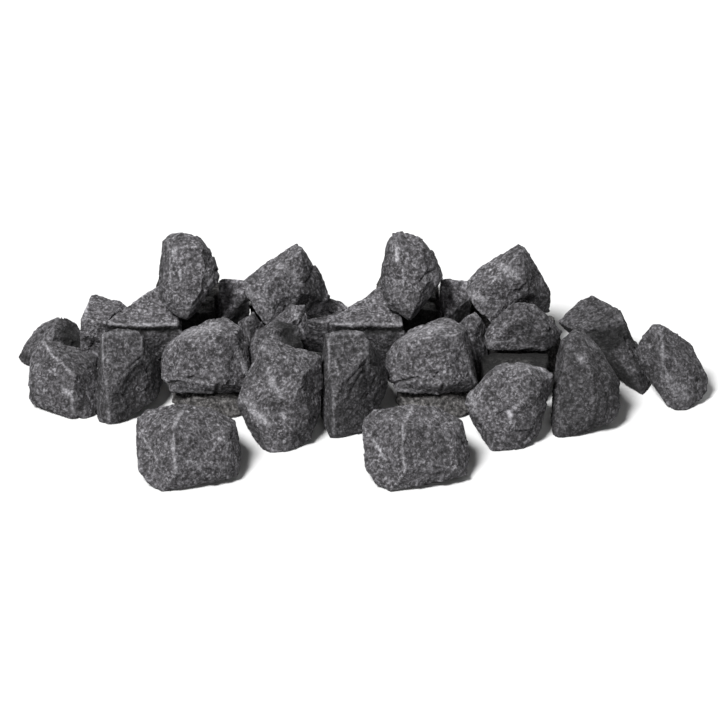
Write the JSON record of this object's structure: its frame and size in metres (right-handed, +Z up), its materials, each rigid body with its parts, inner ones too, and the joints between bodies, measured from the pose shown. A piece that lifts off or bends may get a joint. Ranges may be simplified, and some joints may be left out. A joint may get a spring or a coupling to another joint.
{
  "type": "heap of sauna stones",
  "caption": "Loose heap of rough-split dark basalt sauna and spa stones, wider than deep and peaked twice; the uncovered stones lift off and the rest form the bed under them.",
  "frame": {"origin": "middle of the heap's footprint, on the ground", "axes": "+X along the heap, +Y from its front to its back, +Z up"},
  "size_m": [0.692, 0.4024, 0.1351],
  "materials": {
    "split_basalt": "matt, freshly split, speckled with fine pale grains",
    "dusty_basalt": "matt, dusty, darker"
  },
  "bodies": {
    "bed": {"left_footing_stone": "dusty_basalt", "left_slab_stone": "split_basalt", "left_saddle_stone": "split_basalt", "left_core_stone": "dusty_basalt", "left_rear_stone": "dusty_basalt", "left_backrest_stone": "dusty_basalt", "right_footing_stone": "dusty_basalt", "right_slab_stone": "split_basalt", "right_saddle_stone": "split_basalt", "right_core_stone": "dusty_basalt", "right_rear_stone": "dusty_basalt", "right_backrest_stone": "dusty_basalt", "left_prop_stone": "split_basalt", "centre_seat_stone": "dusty_basalt", "centre_inner_stone": "split_basalt", "centre_block_stone": "split_basalt", "right_prop_stone": "split_basalt", "right_sill_stone": "dusty_basalt", "right_underlay_stone": "dusty_basalt", "far_right_overhang_stone": "split_basalt"},
    "left_front": {"left_front_stone": "split_basalt"},
    "left_middle": {"left_middle_stone": "split_basalt"},
    "left_peak": {"left_peak_stone": "split_basalt"},
    "left_gable": {"left_gable_stone": "split_basalt"},
    "right_front": {"right_front_stone": "split_basalt"},
    "right_middle": {"right_middle_stone": "split_basalt"},
    "right_peak": {"right_peak_stone": "split_basalt"},
    "right_gable": {"right_gable_stone": "split_basalt"},
    "far_left_toe": {"far_left_toe_stone": "split_basalt"},
    "far_left_heel": {"far_left_heel_stone": "split_basalt"},
    "left_block": {"left_block_stone": "split_basalt"},
    "left_wedge": {"left_wedge_stone": "split_basalt"},
    "centre_front": {"centre_front_stone": "split_basalt"},
    "centre_chip": {"centre_chip_stone": "split_basalt"},
    "centre_wedge": {"centre_wedge_stone": "split_basalt"},
    "right_cap": {"right_cap_stone": "split_basalt"},
    "right_shoulder": {"right_shoulder_stone": "split_basalt"},
    "right_tall": {"right_tall_stone": "split_basalt"},
    "far_right_toe": {"far_right_toe_stone": "split_basalt"}
  },
  "joints": [
    {"name": "left_front_lift", "type": "slide", "parent": "bed", "child": "left_front", "axis": [0, 0, 1], "range_m": [0, 0.16]},
    {"name": "left_middle_lift", "type": "slide", "parent": "bed", "child": "left_middle", "axis": [0, 0, 1], "range_m": [0, 0.16]},
    {"name": "left_peak_lift", "type": "slide", "parent": "bed", "child": "left_peak", "axis": [0, 0, 1], "range_m": [0, 0.16]},
    {"name": "left_gable_lift", "type": "slide", "parent": "bed", "child": "left_gable", "axis": [0, 0, 1], "range_m": [0, 0.16]},
    {"name": "right_front_lift", "type": "slide", "parent": "bed", "child": "right_front", "axis": [0, 0, 1], "range_m": [0, 0.16]},
    {"name": "right_middle_lift", "type": "slide", "parent": "bed", "child": "right_middle", "axis": [0, 0, 1], "range_m": [0, 0.16]},
    {"name": "right_peak_lift", "type": "slide", "parent": "bed", "child": "right_peak", "axis": [0, 0, 1], "range_m": [0, 0.16]},
    {"name": "right_gable_lift", "type": "slide", "parent": "bed", "child": "right_gable", "axis": [0, 0, 1], "range_m": [0, 0.16]},
    {"name": "far_left_toe_lift", "type": "slide", "parent": "bed", "child": "far_left_toe", "axis": [0, 0, 1], "range_m": [0, 0.16]},
    {"name": "far_left_heel_lift", "type": "slide", "parent": "bed", "child": "far_left_heel", "axis": [0, 0, 1], "range_m": [0, 0.16]},
    {"name": "left_block_lift", "type": "slide", "parent": "bed", "child": "left_block", "axis": [0, 0, 1], "range_m": [0, 0.16]},
    {"name": "left_wedge_lift", "type": "slide", "parent": "bed", "child": "left_wedge", "axis": [0, -0.1392, 0.9903], "range_m": [0, 0.16]},
    {"name": "centre_front_lift", "type": "slide", "parent": "bed", "child": "centre_front", "axis": [0, 0, 1], "range_m": [0, 0.16]},
    {"name": "centre_chip_lift", "type": "slide", "parent": "bed", "child": "centre_chip", "axis": [0, 0, 1], "range_m": [0, 0.16]},
    {"name": "centre_wedge_lift", "type": "slide", "parent": "bed", "child": "centre_wedge", "axis": [0, 0, 1], "range_m": [0, 0.16]},
    {"name": "right_cap_lift", "type": "slide", "parent": "bed", "child": "right_cap", "axis": [0, -0.1392, 0.9903], "range_m": [0, 0.16]},
    {"name": "right_shoulder_lift", "type": "slide", "parent": "bed", "child": "right_shoulder", "axis": [0, 0, 1], "range_m": [0, 0.16]},
    {"name": "right_tall_lift", "type": "slide", "parent": "bed", "child": "right_tall", "axis": [0, 0, 1], "range_m": [0, 0.16]},
    {"name": "far_right_toe_lift", "type": "slide", "parent": "bed", "child": "far_right_toe", "axis": [0, 0, 1], "range_m": [0, 0.16]}
  ]
}
